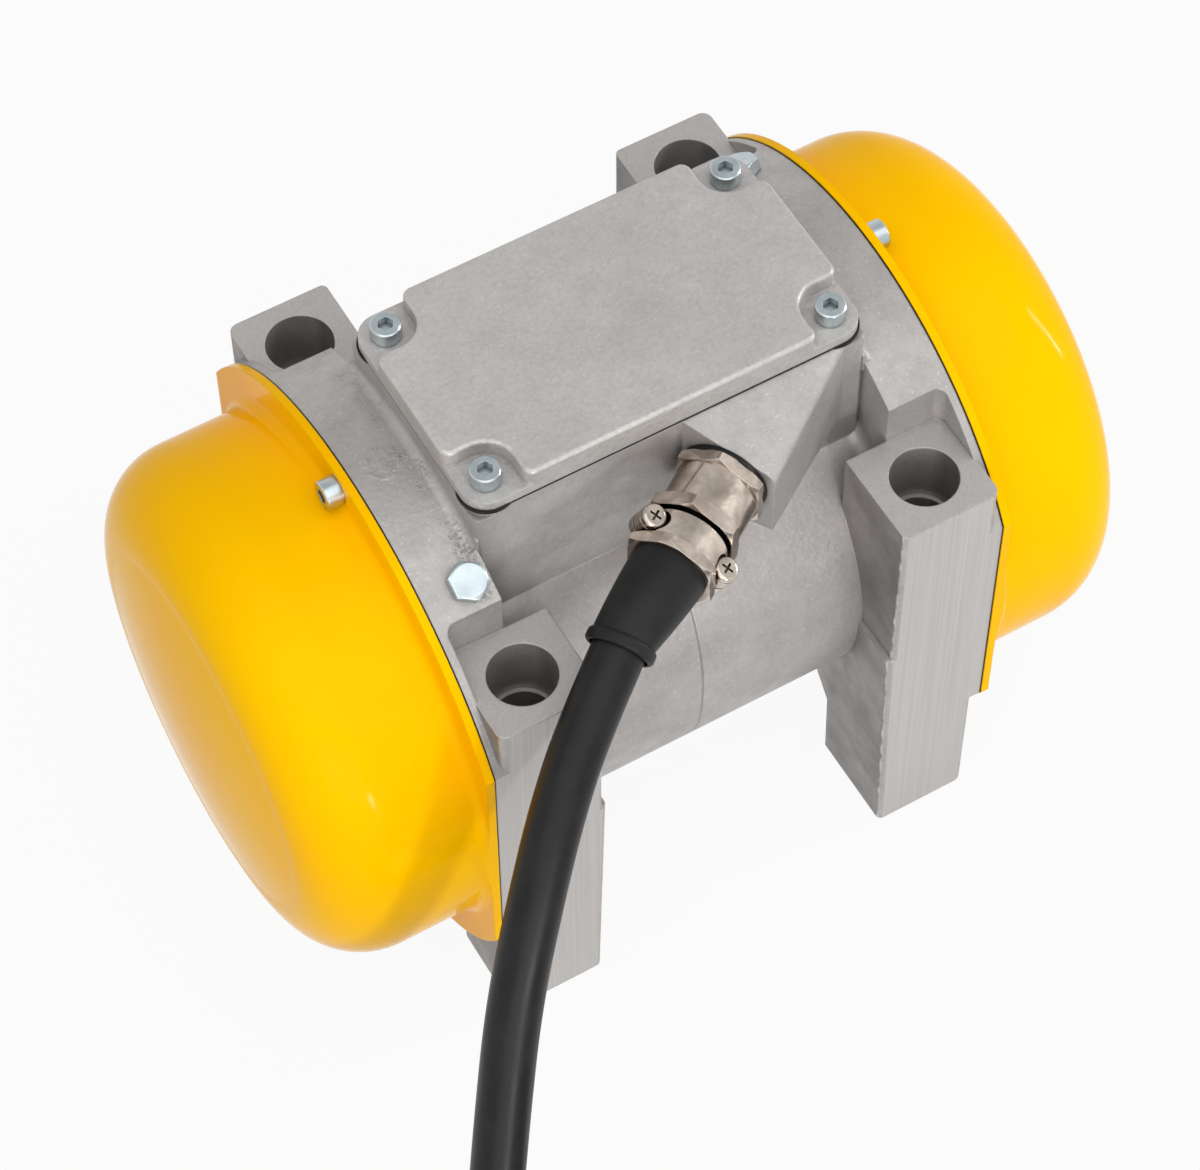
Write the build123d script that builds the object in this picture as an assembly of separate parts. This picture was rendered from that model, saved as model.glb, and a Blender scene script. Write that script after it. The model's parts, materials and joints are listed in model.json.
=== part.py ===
from build123d import *
import math
import os

# External vibration motor on four through-bolted legs.
# The origin is the centre of the foot bolt pattern on the foot plane.
# The shaft runs along X, the terminal box is on top (+Z) and the cable gland is at the front (-Y).
# All lengths are in millimetres, all angles in degrees.

# Feet and legs
BOLT_PITCH_X = 125.0
BOLT_PITCH_Y = 125.0
BOLT_HOLE_D = 17.0
SPOTFACE_D = 19.4
SPOTFACE_DEPTH = 22.0
LEG_TOP = 151.5
LEG_INWARD = 15.7           # from the hole's axis to the leg's inner side, along X
LEG_OUTWARD = 15.1          # from the hole's axis to the leg's outer side, along X
LEG_FRONT = 15.0            # from the hole's axis to the leg's outer face, along Y
LEG_BACK = 15.2             # from the hole's axis to the leg's inner face, along Y
LEG_DRAFT = 2.2             # how much the leg narrows from the parting line down to the foot
LEG_LEDGE = 1.2             # step of the casting at the parting line
LEG_WEB_Z = 28.0            # height where the leg starts to lean in towards the barrel
LEG_WEB_RISE = 19.0
LEG_WEB_RUN = 13.3
LEG_CORNER_R = 3.0          # outer upright edges
LEG_EDGE_R = 1.8            # inner upright edge
FOOT_EDGE_R = 1.2

# Motor barrel and end rings
AXIS_Z = 90.6
BARREL_R = 61.2
BORE_R = 50.0
COVER_SCREW_R = 83.0        # circle of the end covers' screws
RING_EDGE = 5.6             # from that circle out to the ring's edge
RING_OUTER_X = 79.5
RING_ROOT_R = 4.0           # hollow where the barrel meets each ring
BOX_ROOT_R = 3.0            # hollow where the terminal box meets each ring
LIP_X = 2.4                 # rim of the ring that the milled pocket over each leg leaves
POCKET_CORNER_R = 3.0
FACE_RECESS_R = 71.6
FACE_RECESS_DEPTH = 5.5

# Terminal box
SCREW_X = 52.5
SCREW_Y = 27.0
COVER_CORNER_R = 7.6
BOX_RISE = 6.4              # from the top of the rings up to the box's rim
BOX_INSET = 0.2             # how far the box wall lies inside the cover's edge
BOX_CORNER_R = 2.0          # below the rim, which follows the cover's rounder corners
RIM_STEP = 1.5
RING_INSET = 0.1            # from the box wall in to the ring's inner face
GASKET_INSET = 0.3
GASKET_BULGE = 0.5          # how far the seal is squeezed out at each screw
GASKET_T = 1.2
COVER_EAR_T = 3.0
COVER_H = 8.3
COVER_WALL = 3.0
EAR_R = 8.2
EAR_FLARE_R = 3.0
CAVITY_DEPTH = 27.6
BOX_WALL = 6.0
BOX_POST = 8.0
WIRE_HOLE_R = 7.0
WIRE_HOLE_X = -20.0

# Gland pocket at the front right of the terminal box
GLAND_ANGLE = 33.0          # from -X towards -Y
GLAND_X = 9.55
GLAND_Y = -45.25
GLAND_DROP = 16.6           # from the box's rim down to the gland's axis
POCKET_W = 29.0
POCKET_L = 50.0
POCKET_BOTTOM_Z = 153.0
POCKET_TOP_SLOPE = 22.0
POCKET_EDGE_R = 3.5
GLAND_THREAD_R = 10.0
GLAND_THREAD_L = 12.0

# Cable gland, in stations along its axis from the pocket's face
GLAND_AF = 24.0
O_RING_T = 1.4
O_RING_R = 12.4
GLAND_BASE_T = 3.8
HEX_CHAMFER = 0.8
GLAND_BODY_R = 11.7
NUT_STATION = 16.5
NUT_T = 4.5
SADDLE_STATION = 22.2
CLAMP_STATION = 30.5
CLAMP_T = 3.6
SADDLE_R = 11.4
SADDLE_SCREW_Y = 11.8
SADDLE_SCREW_STATION = 26.3
SADDLE_SCREW_D = 3.5
SADDLE_ROLL = 27.0          # the clamp is turned about the gland's axis
SADDLE_SCREW_L = 8.0
SADDLE_HEAD_H = 2.4
SADDLE_EAR_R = 3.6
SADDLE_EAR_T = 2.6
SADDLE_TOP = 3.8            # height of the upper half's ears
SEAL_R = 9.2
LEAD_D = 15.0

# Rubber boot on the lead
BOOT_LARGE_R = 10.8
BOOT_SMALL_R = 8.8
BOOT_BEAD_R = 9.7
BOOT_BEAD_L = 3.6
BOOT_MOUTH_L = 2.6          # open part of the bead, round the lead's first stretch
BOOT_MOUTH_GAP = 0.8
BOOT_MID = (-31.0, -70.3, 167.5)
BOOT_MID_TILT = 9.0

# Lead: a rubber cable from the boot to the floor, wound up out of the way, with its plug
LEAD_ROUTE = [
    (-39.2, -74.3, 164.3),
    (-58.0, -87.5, 156.8),
    (-73.5, -99.8, 145.2),
    (-88.5, -113.2, 127.0),
    (-102.0, -125.5, 104.8),
    (-114.3, -140.0, 78.5),
    (-128.5, -158.0, 47.5),
    (-146.5, -183.0, 18.5),
    (-171.0, -215.7, 7.5),
]
COIL_CENTRE = (-99.0, -269.7)
COIL_R_OUTER = 90.0
COIL_R_INNER = 75.0
COIL_START = 143.1          # angle of the turn's start, where the lead arrives
COIL_END = 270.0            # angle where the lead leaves the coil for its plug
TIE_ANGLE = 30.0
TIE_W = 9.0
TIE_T = 1.2
TAIL_L = 73.0
PLUG_R = 24.0
PLUG_GRIP_L = 62.0
PLUG_COLLAR_R = 26.5
PLUG_COLLAR_L = 34.0
PLUG_NUT_R = 15.0
PLUG_NUT_L = 22.0
PLUG_PIN_R = 2.5
PLUG_EARTH_R = 3.5
PLUG_PIN_CIRCLE = 12.0

# End covers
COVER_FLANGE_T = 2.4
COVER_GASKET_T = 0.5
COVER_FLANGE_OVER = 0.3     # how far the flange stands past the ring, all round
SCREW_TO_DOME = 5.7         # from the screws' circle in to the dome's wall
DOME_END_X = 131.0
DOME_CROWN = 4.0
DOME_EDGE_R = 24.0
DOME_T = 2.4
DOME_ROOT_R = 3.0
DOME_CENTRE_R = 4.0         # small flat in the middle of the crowned end
COVER_SCREW_ANGLES = (0.0, 180.0)
RING_BOLT_D = 6.0
RING_BOLT_AF = 10.0
RING_BOLT_L = 10.0
RING_BOLT_X = 66.3
RING_BOLT_ANGLE = 27.2      # from vertical, towards the front on the left ring and the rear on the right

# Bearings, rotor and stator
SHAFT_R = 15.0
CORE_SHAFT_R = 18.0
WEIGHT_SHAFT_R = 12.5
SHAFT_END_X = 126.0
STATOR_L = 60.0
STATOR_BORE_R = 31.0
AIR_GAP = 0.4
COIL_END_L = 17.0
ROTOR_RING_L = 9.0
BEARING_R = 36.0
BEARING_W = 19.0
RACE_T = 4.6
BALL_R = 6.1
BALL_COUNT = 8
BALL_GAP = 0.06
SHIELD_WEB = 3.0
SHIELD_SCREW_R = 62.0
SHIELD_SCREW_ANGLES = (-36.0, 36.0, 144.0, 216.0)
RUNNING_GAP = 0.05
SMALL_GAP = 0.3

# Eccentric weights
FIXED_WEIGHT_X = 84.0
FIXED_WEIGHT_T = 19.0
ADJUST_WEIGHT_T = 16.0
WEIGHT_GAP = 0.4
WEIGHT_R = 58.0
WEIGHT_HALF_ANGLE = 75.0
WEIGHT_HUB_R = 23.0
KEY_W = 8.0
KEY_H = 7.0
END_NUT_R = 18.0
END_NUT_T = 5.0
SPLIT_W = 3.0

# Terminal block
BLOCK_X = 34.0
BLOCK_Y = 30.0
BLOCK_H = 9.0
STUD_D = 4.0
STUD_H = 12.0
STUD_L = 6.0                # let in to the block
BARRIER_H = 4.6
BARRIER_T = 1.6
STUD_PITCH_X = 11.0
STUD_PITCH_Y = 14.0

M5 = 5.0
M4 = 4.0
LID_SCREW_L = 16.0
END_SCREW_L = 14.0
SHIELD_SCREW_L = 13.0
SHIELD_SCREW_SINK = 3.0
CLAMP_SCREW_L = 18.0
EARTH_SCREW_L = 8.0
TAP_EXTRA = 2.0             # how much deeper a tapped hole is than its screw
THREAD_GAP = 0.05
EARTH_X = 38.0

# Sizes worked out from the values above
HOLE_X = BOLT_PITCH_X / 2
HOLE_Y = BOLT_PITCH_Y / 2
LEG_X0 = HOLE_X - LEG_INWARD
LEG_X1 = HOLE_X + LEG_OUTWARD
LEG_Y0 = HOLE_Y - LEG_BACK
LEG_Y1 = HOLE_Y + LEG_FRONT
RING_FLAT_Y = LEG_Y1
RING_R = COVER_SCREW_R + RING_EDGE
DOME_R = COVER_SCREW_R - SCREW_TO_DOME
RIM_Z = AXIS_Z + RING_R + BOX_RISE
CAVITY_FLOOR_Z = RIM_Z - CAVITY_DEPTH
GLAND_Z = RIM_Z - GLAND_DROP
COVER_X = SCREW_X + COVER_CORNER_R
COVER_Y = SCREW_Y + COVER_CORNER_R
BOX_X = COVER_X - BOX_INSET
BOX_Y = COVER_Y - BOX_INSET
RING_INNER_X = BOX_X - RING_INSET
COVER_Z = RIM_Z + GASKET_T
EARTH_SEAT = (EARTH_X, 0, CAVITY_FLOOR_Z)
LEAD_R = LEAD_D / 2
HEAD_R = 0.85 * M5          # head of an M5 socket screw
SHIELD_OUT_X = RING_OUTER_X
SHIELD_FLANGE_X = RING_OUTER_X - FACE_RECESS_DEPTH
BEARING_X0 = SHIELD_FLANGE_X - BEARING_W
FLANGE_X0 = RING_OUTER_X + COVER_GASKET_T
FLANGE_X1 = FLANGE_X0 + COVER_FLANGE_T
BALL_CIRCLE_R = (SHAFT_R + BEARING_R) / 2
ADJUST_WEIGHT_X = FIXED_WEIGHT_X + FIXED_WEIGHT_T + WEIGHT_GAP
END_NUT_X = ADJUST_WEIGHT_X + ADJUST_WEIGHT_T + WEIGHT_GAP
COIL_R_MID = (COIL_R_OUTER + COIL_R_INNER) / 2
COIL_TOP_Z = 1.5 * LEAD_D
GLAND_DIR = Vector(
    -math.cos(math.radians(GLAND_ANGLE)),
    -math.sin(math.radians(GLAND_ANGLE)),
    0,
)
GLAND_PLANE = Plane(
    origin=(GLAND_X, GLAND_Y, GLAND_Z),
    x_dir=(0, 0, 1),
    z_dir=GLAND_DIR,
)


# Basic shapes

def block(x0, x1, y0, y1, z0, z1):
    """Box between two corners."""
    size = Box(x1 - x0, y1 - y0, z1 - z0)
    return Pos((x0 + x1) / 2, (y0 + y1) / 2, (z0 + z1) / 2) * size


def disc_x(radius, x0, x1, y=0.0, z=AXIS_Z):
    """Cylinder along X between two stations."""
    solid = Cylinder(radius, x1 - x0)
    return Pos((x0 + x1) / 2, y, z) * Rot(0, 90, 0) * solid


def tube_x(outer, inner, x0, x1):
    """Plain ring along the motor's axis."""
    return disc_x(outer, x0, x1) - disc_x(inner, x0 - 1, x1 + 1)


def rod(radius, start, end):
    """Cylinder from one point to another."""
    run = Vector(*end) - Vector(*start)
    plane = Plane(origin=start, z_dir=run)
    return extrude(plane * Circle(radius), amount=run.length)


def around_axis(angle, radius, x=0.0):
    """Point on a circle about the motor's axis; the angle runs from the top towards the rear."""
    turn = math.radians(angle)
    return (x, radius * math.sin(turn), AXIS_Z + radius * math.cos(turn))


def rounded_plate(half_x, half_y, radius, z0, z1):
    """Plate with rounded corners, centred on the Z axis."""
    outline = RectangleRounded(2 * half_x, 2 * half_y, radius)
    return Pos(0, 0, z0) * extrude(outline, amount=z1 - z0)


def corners(half_x, half_y):
    """The four points of a rectangle about the Z axis."""
    return [(sx * half_x, sy * half_y) for sx in (-1, 1) for sy in (-1, 1)]


def cap_screw(thread, length, seat, direction):
    """Socket head cap screw: the head stands on the seat and points along the direction."""
    head_r = 0.85 * thread
    socket_r = 0.8 * thread / math.sqrt(3)
    plane = Plane(origin=seat, z_dir=direction)
    head = extrude(plane * Circle(head_r), amount=thread)
    socket = extrude(plane.offset(0.45 * thread) * RegularPolygon(socket_r, 6), amount=thread)
    shank = extrude(plane * Circle(thread / 2), amount=-length)
    top_edge = head.edges().filter_by(GeomType.CIRCLE).sort_by(Axis(seat, direction))[-1]
    head = chamfer(top_edge, 0.07 * thread)
    return head - socket + shank


def hex_screw(thread, across_flats, length, seat, direction):
    """Hexagon head screw: the head's corners are turned off at its top."""
    plane = Plane(origin=seat, z_dir=direction)
    height = 0.67 * thread
    head = extrude(plane * RegularPolygon(across_flats / math.sqrt(3), 6), amount=height)
    turned = extrude(plane * Circle(across_flats / math.sqrt(3)), amount=height)
    top = turned.edges().filter_by(GeomType.CIRCLE).sort_by(Axis(seat, direction))[-1]
    head = head & chamfer(top, 0.06 * across_flats, 0.12 * across_flats)
    shank = extrude(plane * Circle(thread / 2), amount=-length)
    return head + shank


def tapped_hole(thread, length, seat, direction):
    """Cutter for the hole that a screw goes into."""
    plane = Plane(origin=seat, z_dir=direction).offset(1)
    return extrude(plane * Circle(thread / 2 + THREAD_GAP), amount=-length - TAP_EXTRA)


def to_left(shape):
    """The same piece at the motor's left end."""
    return mirror(shape, about=Plane.YZ)


def both_ends(name, shape):
    """A left and a right copy of a piece of the right end."""
    return {"left_" + name: to_left(shape), "right_" + name: shape}


# Housing

def leg_plan(inner_x):
    """Outline of the right rear leg from above, rounded more at its outer edges."""
    middle = Pos((inner_x + LEG_X1) / 2, (LEG_Y0 + LEG_Y1) / 2)
    plan = middle * Rectangle(LEG_X1 - inner_x, LEG_Y1 - LEG_Y0)
    plan = fillet(plan.vertices().group_by(Axis.X)[-1], LEG_CORNER_R)
    inner = plan.vertices().group_by(Axis.X)[0].sort_by(Axis.Y)[-1]
    return fillet(inner, LEG_EDGE_R)


def leg_web():
    """The leg leans in to the barrel above the foot; its inner side has the same draft."""
    side = Polyline(
        (LEG_Y0 + LEG_CORNER_R, AXIS_Z),
        (LEG_Y0 - LEG_WEB_RUN, AXIS_Z),
        (LEG_Y0 - LEG_WEB_RUN, LEG_WEB_Z + LEG_WEB_RISE),
        (LEG_Y0, LEG_WEB_Z),
        (LEG_Y0 + LEG_CORNER_R, LEG_WEB_Z),
        close=True,
    )
    front = Polyline(
        (LEG_X0 + LEG_DRAFT - LEG_LEDGE, 0),
        (LEG_X1, 0),
        (LEG_X1, AXIS_Z),
        (LEG_X0 - LEG_LEDGE, AXIS_Z),
        close=True,
    )
    across = extrude(Plane.YZ * make_face(side), amount=LEG_X1)
    along = extrude(Plane.XZ * make_face(front), amount=-LEG_Y1)
    return across & along


def leg():
    """The right rear leg: a full-height column, stepped and drafted below the parting line."""
    upper = Pos(0, 0, AXIS_Z) * extrude(leg_plan(LEG_X0), amount=LEG_TOP - AXIS_Z)
    at_parting = Pos(0, 0, AXIS_Z) * leg_plan(LEG_X0 - LEG_LEDGE)
    at_foot = leg_plan(LEG_X0 + LEG_DRAFT - LEG_LEDGE)
    lower = loft([at_foot, at_parting], ruled=True)
    lower = chamfer(lower.edges().group_by(Axis.Z)[0], FOOT_EDGE_R)
    return upper + lower + leg_web()


def end_ring():
    """The right end ring: a disc cut flat at the front and rear."""
    disc = disc_x(RING_R, RING_INNER_X, RING_OUTER_X)
    slab = block(0, RING_OUTER_X + 1, -RING_FLAT_Y, RING_FLAT_Y, 0, 2 * RING_R + AXIS_Z)
    return (disc & slab) + hollow_round(RING_INNER_X, BARREL_R, -RING_ROOT_R)


def hollow_round(x, radius, run):
    """Ring that fills the corner at x with a hollow curve; a negative run lies to the left of x."""
    size = abs(run)
    corner = Pos(x + run / 2, radius + size / 2) * Rectangle(size, size)
    overlap = Pos(x - run / 8, radius) * Rectangle(size / 4, 2 * size)
    under = Pos(x + run / 2, radius - size / 8) * Rectangle(size, size / 4)
    profile = corner + overlap + under - Pos(x + run, radius + size) * Circle(size)
    return Pos(0, 0, AXIS_Z) * revolve(Plane.XY * profile, axis=Axis.X)


def box_root():
    """Hollow between the box's right wall and the right ring."""
    whole = hollow_round(BOX_X, RING_R, BOX_ROOT_R)
    return whole & block(0, RING_OUTER_X, -BOX_Y, BOX_Y, AXIS_Z, RIM_Z)


def leg_pocket():
    """Cutter for the milled pocket over the right rear leg."""
    reach = RING_R - LEG_Y0
    width = RING_OUTER_X - LIP_X - RING_INNER_X + 1
    plan = Pos(RING_INNER_X - 1 + width / 2, LEG_Y0 + reach / 2) * Rectangle(width, reach)
    rounded = fillet(plan.vertices().group_by(Axis.X)[-1], POCKET_CORNER_R)
    return Pos(0, 0, LEG_TOP) * extrude(rounded, amount=RING_R)


def gland_pocket():
    """The slanted pocket that carries the gland: square to the gland's axis, with a sloping top."""
    half = POCKET_W / 2
    below = GLAND_Z - POCKET_BOTTOM_Z
    above = RIM_Z - GLAND_Z
    outline = Rectangle(above + below, POCKET_W, align=(Align.MIN, Align.CENTER))
    body = extrude(GLAND_PLANE * Pos(-below, 0) * outline, amount=-POCKET_L)
    slope = Plane(origin=(0, -BOX_Y, RIM_Z), x_dir=(1, 0, 0), z_dir=(0, 0, 1))
    slope = slope.rotated((POCKET_TOP_SLOPE, 0, 0))
    waste = extrude(slope * Rectangle(8 * half, 8 * half), amount=2 * above)
    body = body - (waste & block(-4 * half, 4 * half, -4 * half, -BOX_Y, 0, 2 * RIM_Z))
    ridge = [
        edge
        for edge in body.edges().filter_by(GeomType.LINE)
        if GLAND_PLANE.to_local_coords(edge.center()).Y < 1 - half
        and GLAND_PLANE.to_local_coords(edge.center()).Z < -1
        and edge.center().Z > GLAND_Z
        and edge.center().Y < -BOX_Y
    ]
    return fillet(ridge, POCKET_EDGE_R)


def terminal_box():
    """Outside of the terminal box, down into the barrel."""
    walls = rounded_plate(BOX_X, BOX_Y, BOX_CORNER_R, AXIS_Z, RIM_Z - RIM_STEP)
    rim = rounded_plate(BOX_X, BOX_Y, COVER_CORNER_R - BOX_INSET, AXIS_Z, RIM_Z)
    return walls + rim + box_root() + to_left(box_root()) + gland_pocket()


def box_cavity():
    """Inside of the terminal box: a cross, so that each corner stays solid for its screw."""
    height = RIM_Z - CAVITY_FLOOR_Z + 1
    inner_x = BOX_X - BOX_WALL
    inner_y = BOX_Y - BOX_WALL
    wide = Rectangle(2 * inner_x, 2 * (inner_y - BOX_POST))
    deep = Rectangle(2 * (inner_x - BOX_POST), 2 * inner_y)
    cross = Pos(0, 0, CAVITY_FLOOR_Z) * extrude(wide + deep, amount=height)
    wires = Cylinder(WIRE_HOLE_R, CAVITY_FLOOR_Z - AXIS_Z, align=(Align.CENTER, Align.CENTER, Align.MIN))
    thread = extrude(GLAND_PLANE * Circle(GLAND_THREAD_R + THREAD_GAP), amount=-POCKET_W - 5)
    return cross + Pos(WIRE_HOLE_X, 0, AXIS_Z) * wires + thread


def cover_screw_seats():
    """Places of the terminal cover's screws, on its ears."""
    return [(x, y, COVER_Z + COVER_EAR_T) for x, y in corners(SCREW_X, SCREW_Y)]


def ring_bolt_seat(side):
    """Foot and direction of the hexagon bolt in one end ring: side is -1 left, 1 right."""
    angle = side * RING_BOLT_ANGLE
    seat = Vector(*around_axis(angle, RING_R, side * RING_BOLT_X))
    foot = Vector(side * RING_BOLT_X, 0, AXIS_Z)
    return seat, (seat - foot).normalized()


def housing():
    body = disc_x(BARREL_R, -RING_OUTER_X, RING_OUTER_X)
    for turn in (0, 180):
        body += Rot(0, 0, turn) * end_ring()
    for sx in (False, True):
        for sy in (False, True):
            column = leg()
            column = mirror(column, about=Plane.YZ) if sx else column
            column = mirror(column, about=Plane.XZ) if sy else column
            body += column
    body += terminal_box()
    pocket = leg_pocket()
    for piece in (pocket, mirror(pocket, about=Plane.XZ)):
        body -= piece
        body -= to_left(piece)
    body -= disc_x(BORE_R, -RING_OUTER_X - 1, RING_OUTER_X + 1)
    body -= box_cavity()
    recess = disc_x(FACE_RECESS_R, SHIELD_FLANGE_X, RING_OUTER_X + 1)
    body -= recess
    body -= to_left(recess)
    for x, y in corners(HOLE_X, HOLE_Y):
        body -= Pos(x, y, LEG_TOP / 2) * Cylinder(BOLT_HOLE_D / 2, LEG_TOP + 2)
        body -= Pos(x, y, LEG_TOP) * Cylinder(SPOTFACE_D / 2, 2 * SPOTFACE_DEPTH)
    for seat in cover_screw_seats():
        body -= tapped_hole(M5, LID_SCREW_L, seat, (0, 0, 1))
    for angle in COVER_SCREW_ANGLES:
        hole = tapped_hole(M5, END_SCREW_L, around_axis(angle, COVER_SCREW_R, FLANGE_X1), (1, 0, 0))
        body -= hole
        body -= to_left(hole)
    for angle in SHIELD_SCREW_ANGLES:
        seat = around_axis(angle, SHIELD_SCREW_R, SHIELD_OUT_X - SHIELD_SCREW_SINK)
        hole = tapped_hole(M5, SHIELD_SCREW_L, seat, (1, 0, 0))
        body -= hole
        body -= to_left(hole)
    for side in (-1, 1):
        seat, outward = ring_bolt_seat(side)
        body -= tapped_hole(RING_BOLT_D, RING_BOLT_L, seat, outward)
    body -= tapped_hole(M4, EARTH_SCREW_L, EARTH_SEAT, (0, 0, 1))
    return body


def ring_bolts():
    """Hexagon bolts of the two rings, diagonally opposite."""
    bolts = []
    for side in (-1, 1):
        seat, outward = ring_bolt_seat(side)
        bolts.append(hex_screw(RING_BOLT_D, RING_BOLT_AF, RING_BOLT_L, seat, outward))
    return bolts


# Terminal cover and what is under it

def terminal_cover():
    """Lid: a thin plate with a raised middle that steps down round each screw."""
    plate = rounded_plate(COVER_X, COVER_Y, COVER_CORNER_R, COVER_Z, COVER_Z + COVER_EAR_T)
    raised = RectangleRounded(2 * COVER_X, 2 * COVER_Y, 2.0)
    for x, y in corners(SCREW_X, SCREW_Y):
        corner = Pos(x, y) * Circle(EAR_R)
        corner += Pos(x + math.copysign(EAR_R, x), y) * Rectangle(2 * EAR_R, 2 * EAR_R)
        corner += Pos(x, y + math.copysign(EAR_R, y)) * Rectangle(2 * EAR_R, 2 * EAR_R)
        raised -= corner
    flared = [v for v in raised.vertices() if abs(v.X) > COVER_X - 0.1 or abs(v.Y) > COVER_Y - 0.1]
    raised = fillet(flared, EAR_FLARE_R)
    middle = Pos(0, 0, COVER_Z) * extrude(raised, amount=COVER_H)
    shoulder = middle.edges().group_by(Axis.Z)[-1]
    middle = fillet(shoulder, 1.2)
    hollow_x = SCREW_X - EAR_R - COVER_WALL
    hollow_y = COVER_Y - COVER_WALL
    hollow = rounded_plate(hollow_x, hollow_y, 3.0, COVER_Z - 1, COVER_Z + COVER_H - COVER_WALL)
    lid = plate + middle - hollow
    for seat in cover_screw_seats():
        lid -= tapped_hole(M5, LID_SCREW_L, seat, (0, 0, 1))
    return lid


def terminal_gasket():
    """Flat rubber seal between box and lid; it bulges a little past the corners."""
    half_x = COVER_X - GASKET_INSET
    half_y = COVER_Y - GASKET_INSET
    sheet = rounded_plate(half_x, half_y, COVER_CORNER_R - GASKET_INSET, RIM_Z, COVER_Z)
    for x, y in corners(SCREW_X, SCREW_Y):
        sheet += Pos(x, y, (RIM_Z + COVER_Z) / 2) * Cylinder(COVER_CORNER_R + GASKET_BULGE, GASKET_T)
    inner_x = BOX_X - BOX_WALL
    inner_y = BOX_Y - BOX_WALL
    wide = Rectangle(2 * inner_x, 2 * (inner_y - BOX_POST))
    deep = Rectangle(2 * (inner_x - BOX_POST), 2 * inner_y)
    sheet -= Pos(0, 0, RIM_Z - 1) * extrude(wide + deep, amount=GASKET_T + 2)
    for seat in cover_screw_seats():
        sheet -= tapped_hole(M5, LID_SCREW_L, seat, (0, 0, 1))
    return sheet


def terminal_cover_screws():
    return [cap_screw(M5, LID_SCREW_L, seat, (0, 0, 1)) for seat in cover_screw_seats()]


def stud_places():
    """Two rows of three terminals."""
    return [
        (column * STUD_PITCH_X, row * STUD_PITCH_Y / 2, CAVITY_FLOOR_Z + BLOCK_H)
        for column in (-1, 0, 1)
        for row in (-1, 1)
    ]


def terminal_block():
    """Moulded base with a barrier between the terminals."""
    base = Pos(0, 0, CAVITY_FLOOR_Z) * extrude(RectangleRounded(BLOCK_X, BLOCK_Y, 2), amount=BLOCK_H)
    for column in (-1, 1):
        x = column * STUD_PITCH_X / 2
        half = BARRIER_T / 2
        top = CAVITY_FLOOR_Z + BLOCK_H
        base += block(x - half, x + half, -BLOCK_Y / 2, BLOCK_Y / 2, top, top + BARRIER_H)
    for x, y, z in stud_places():
        base -= rod(STUD_D / 2 + THREAD_GAP, (x, y, z - STUD_L), (x, y, z + 1))
    return base


def terminal_studs():
    return [rod(STUD_D / 2, (x, y, z - STUD_L), (x, y, z + STUD_H)) for x, y, z in stud_places()]


def terminal_nuts():
    """A brass hexagon nut on each stud."""
    nuts = []
    for x, y, z in stud_places():
        hexagon = RegularPolygon(3.9, 6) - Circle(STUD_D / 2 + THREAD_GAP)
        nuts.append(Pos(x, y, z + 0.5) * extrude(hexagon, amount=3.2))
    return nuts


def earth_screw():
    return cap_screw(M4, EARTH_SCREW_L, EARTH_SEAT, (0, 0, 1))


# Cable gland

def station(distance):
    """Plane square to the gland's axis."""
    return GLAND_PLANE.offset(distance)


def gland_ring(shape, start, length):
    return extrude(station(start) * shape, amount=length)


def hexagon(across_flats):
    return RegularPolygon(across_flats / math.sqrt(3), 6)


def turned_hexagon(across_flats, start, length):
    """Hexagon along the gland's axis with its corners turned off at both ends."""
    shape = gland_ring(hexagon(across_flats), start, length)
    round_bar = gland_ring(Circle(across_flats / math.sqrt(3)), start, length)
    rims = round_bar.edges().filter_by(GeomType.CIRCLE)
    return shape & chamfer(rims, HEX_CHAMFER, 2 * HEX_CHAMFER)


def gland_o_ring():
    return gland_ring(Circle(O_RING_R) - Circle(GLAND_THREAD_R + THREAD_GAP), 0, O_RING_T)


def gland_body():
    """Hexagon, round middle and the threads at both ends."""
    base_end = O_RING_T + GLAND_BASE_T
    shape = turned_hexagon(GLAND_AF, O_RING_T, GLAND_BASE_T)
    shape += gland_ring(Circle(GLAND_THREAD_R), -GLAND_THREAD_L, GLAND_THREAD_L + O_RING_T)
    shape += gland_ring(Circle(GLAND_BODY_R), base_end, NUT_STATION - base_end)
    shape += gland_ring(Circle(SEAL_R), NUT_STATION, NUT_T)
    start = -GLAND_THREAD_L - 1
    return shape - gland_ring(Circle(LEAD_R + SMALL_GAP), start, CLAMP_STATION - start)


def gland_nut():
    bore = gland_ring(Circle(SEAL_R + THREAD_GAP), NUT_STATION, NUT_T)
    return turned_hexagon(GLAND_AF, NUT_STATION, NUT_T) - bore


def gland_seal():
    """Rubber sleeve between nut and clamp."""
    start = NUT_STATION + NUT_T
    return gland_ring(Circle(SEAL_R) - Circle(LEAD_R + THREAD_GAP), start, CLAMP_STATION - start)


def clamp_axes():
    """Centre of the clamp's screws with its own across and up directions."""
    plane = station(SADDLE_SCREW_STATION)
    turn = math.radians(SADDLE_ROLL)
    across = Vector(*plane.y_dir) * math.cos(turn) + Vector(*plane.x_dir) * math.sin(turn)
    up = Vector(*plane.x_dir) * math.cos(turn) - Vector(*plane.y_dir) * math.sin(turn)
    return Vector(*plane.origin), across, up


def clamp_plane(side, height):
    """Plane square to a clamp screw, at a height over the split between the halves."""
    centre, across, up = clamp_axes()
    return Plane(origin=centre + across * (side * SADDLE_SCREW_Y) + up * height, x_dir=across, z_dir=up)


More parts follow.
